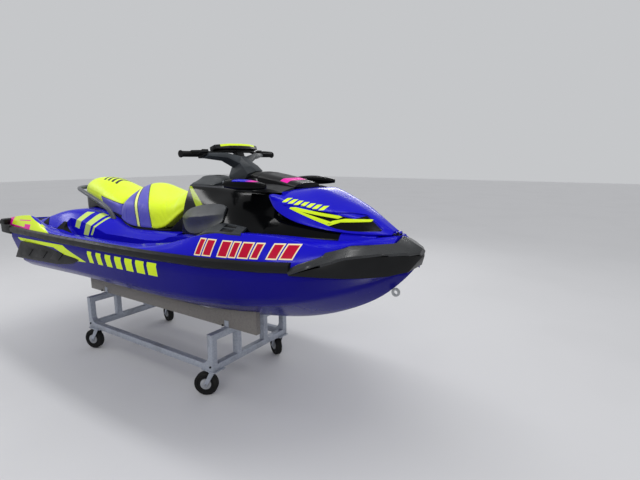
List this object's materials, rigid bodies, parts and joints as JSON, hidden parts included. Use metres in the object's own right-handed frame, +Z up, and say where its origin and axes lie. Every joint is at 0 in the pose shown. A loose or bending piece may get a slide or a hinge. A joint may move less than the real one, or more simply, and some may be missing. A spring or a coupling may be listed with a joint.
{
  "type": "personal watercraft on a wheeled workshop trolley",
  "caption": "Sit-down personal watercraft with seats, handlebar, jet drive and opening storage lid, standing on a wheeled workshop trolley.",
  "frame": {"origin": "on the floor under the craft, midway along and across it", "axes": "+X to the bow, +Y to port, +Z up"},
  "size_m": [3.45, 1.255, 1.5445],
  "materials": {
    "hull_paint": "gloss gelcoat, deep blue",
    "deck_paint": "gloss gelcoat, blue violet",
    "black_trim": "satin moulded black",
    "grey_trim": "satin moulded dark grey",
    "gloss_black": "gloss black",
    "mat_rubber": "grooved foam rubber",
    "grip_rubber": "ribbed rubber",
    "cast_aluminium": "cast, satin",
    "steel": "brushed",
    "seat_cover": "sewn vinyl, yellow with purple sides",
    "screen_glass": "dark display",
    "mirror_glass": "mirror",
    "frame_metal": "galvanised square tube",
    "bunk_carpet": "timber under grey carpet",
    "tyre": "hard black rubber"
  },
  "bodies": {
    "craft": {"hull": "hull_paint", "deck": "deck_paint", "side_rails": "black_trim", "bow_bumper": "grey_trim", "bow_skirt": "black_trim", "stern_bumper": "black_trim", "deck_mats": "mat_rubber", "sponsons": "black_trim", "ride_plate": "cast_aluminium", "intake_grate": "cast_aluminium", "jet_pump": "cast_aluminium", "engine_block": "cast_aluminium", "seat_base": "black_trim", "seat_front": "seat_cover", "seat_rear": "seat_cover", "grab_handle": "grey_trim", "console": "gloss_black", "knee_panels": "grey_trim", "vent_panels": "grey_trim", "storage_bin": "black_trim", "lid_hinge": "steel", "bow_eye": "steel", "stern_eyes": "steel", "trolley_frame": "frame_metal", "bunks": "bunk_carpet", "caster_plates": "frame_metal"},
    "steering": {"steering_neck": "grey_trim", "handlebar": "gloss_black", "bar_pad": "grey_trim", "grips": "grip_rubber"},
    "nozzle": {"steering_nozzle": "cast_aluminium"},
    "gate": {"reverse_gate": "black_trim"},
    "pump_rotor": {"impeller": "steel"},
    "storage_lid": {"hood_lid": "deck_paint", "dash_cowl": "gloss_black", "visor": "gloss_black", "gauge": "screen_glass", "mirror_pods": "gloss_black", "mirror_glasses": "mirror_glass"},
    "glovebox": {"glovebox_lid": "grey_trim"},
    "fork_front_right": {"caster_fork_front_right": "frame_metal"},
    "wheel_front_right": {"caster_wheel_front_right": "tyre"},
    "fork_front_left": {"caster_fork_front_left": "frame_metal"},
    "wheel_front_left": {"caster_wheel_front_left": "tyre"},
    "fork_rear_right": {"caster_fork_rear_right": "frame_metal"},
    "wheel_rear_right": {"caster_wheel_rear_right": "tyre"},
    "fork_rear_left": {"caster_fork_rear_left": "frame_metal"},
    "wheel_rear_left": {"caster_wheel_rear_left": "tyre"}
  },
  "joints": [
    {"name": "steering_turn", "type": "hinge", "parent": "craft", "child": "steering", "pos_m": [0.565, 0, 1.3], "axis": [-0.342, 0, 0.9397], "range_deg": [-22, 22]},
    {"name": "nozzle_turn", "type": "hinge", "parent": "craft", "child": "nozzle", "pos_m": [-1.496, 0, 0.54], "axis": [0, 0, 1], "range_deg": [-22, 22]},
    {"name": "gate_swing", "type": "hinge", "parent": "craft", "child": "gate", "pos_m": [-1.44, 0, 0.54], "axis": [0, 1, 0], "range_deg": [-48, 0]},
    {"name": "impeller_spin", "type": "hinge", "parent": "craft", "child": "pump_rotor", "pos_m": [-1.27, 0, 0.54], "axis": [1, 0, 0], "continuous": true},
    {"name": "storage_lid_open", "type": "hinge", "parent": "craft", "child": "storage_lid", "pos_m": [1.598, 0, 1.08], "axis": [0, 1, 0], "range_deg": [0, 45]},
    {"name": "glovebox_open", "type": "hinge", "parent": "craft", "child": "glovebox", "pos_m": [0.411, 0, 1.29], "axis": [0, 1, 0], "range_deg": [0, 50]},
    {"name": "swivel_front_right", "type": "hinge", "parent": "craft", "child": "fork_front_right", "pos_m": [0.53, -0.32, 0.157], "axis": [0, 0, 1], "continuous": true},
    {"name": "roll_front_right", "type": "hinge", "parent": "fork_front_right", "child": "wheel_front_right", "pos_m": [0.4893, -0.3435, 0.075], "axis": [-0.5, 0.866, 0], "continuous": true},
    {"name": "swivel_front_left", "type": "hinge", "parent": "craft", "child": "fork_front_left", "pos_m": [0.53, 0.32, 0.157], "axis": [0, 0, 1], "continuous": true},
    {"name": "roll_front_left", "type": "hinge", "parent": "fork_front_left", "child": "wheel_front_left", "pos_m": [0.4893, 0.3435, 0.075], "axis": [0.5, 0.866, 0], "continuous": true},
    {"name": "swivel_rear_right", "type": "hinge", "parent": "craft", "child": "fork_rear_right", "pos_m": [-0.72, -0.33, 0.157], "axis": [0, 0, 1], "continuous": true},
    {"name": "roll_rear_right", "type": "hinge", "parent": "fork_rear_right", "child": "wheel_rear_right", "pos_m": [-0.76495, -0.34374, 0.075], "axis": [-0.2924, 0.9563, 0], "continuous": true},
    {"name": "swivel_rear_left", "type": "hinge", "parent": "craft", "child": "fork_rear_left", "pos_m": [-0.72, 0.33, 0.157], "axis": [0, 0, 1], "continuous": true},
    {"name": "roll_rear_left", "type": "hinge", "parent": "fork_rear_left", "child": "wheel_rear_left", "pos_m": [-0.76495, 0.34374, 0.075], "axis": [0.2924, 0.9563, 0], "continuous": true}
  ],
  "couplings": [
    {"joint": "nozzle_turn", "follows": "steering_turn", "ratio": -1}
  ]
}
